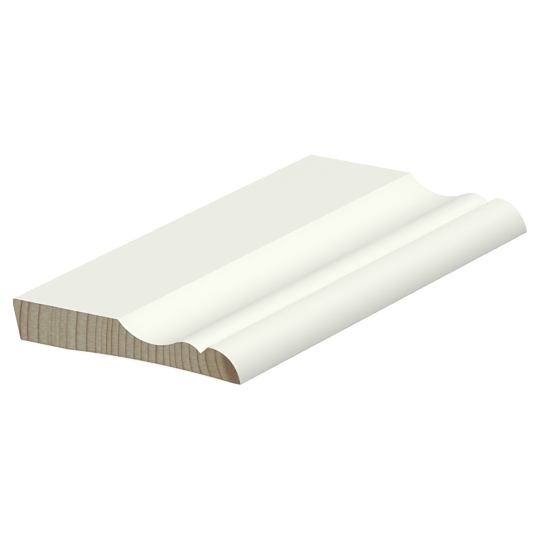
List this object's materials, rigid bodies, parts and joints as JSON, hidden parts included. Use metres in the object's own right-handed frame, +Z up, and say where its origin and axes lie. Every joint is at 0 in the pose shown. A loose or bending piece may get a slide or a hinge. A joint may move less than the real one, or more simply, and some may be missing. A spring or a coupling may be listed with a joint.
{
  "type": "skirting board",
  "caption": "Short square-sawn length of white-painted softwood skirting: flat face, hollow, small bead, V groove and rounded nose, lying on its relieved back.",
  "frame": {"origin": "middle of the underside: half way across the width and along the length, on the plane of the back's two feet", "axes": "+X across the width from the floor edge to the nose, +Y along the length, +Z up from the back to the face"},
  "size_m": [0.095, 0.202, 0.015],
  "materials": {
    "painted_pine": "white satin paint on planed softwood, with bare sawn ends and a bare back"
  },
  "bodies": {
    "root": {"skirting_board": "painted_pine"}
  },
  "joints": []
}
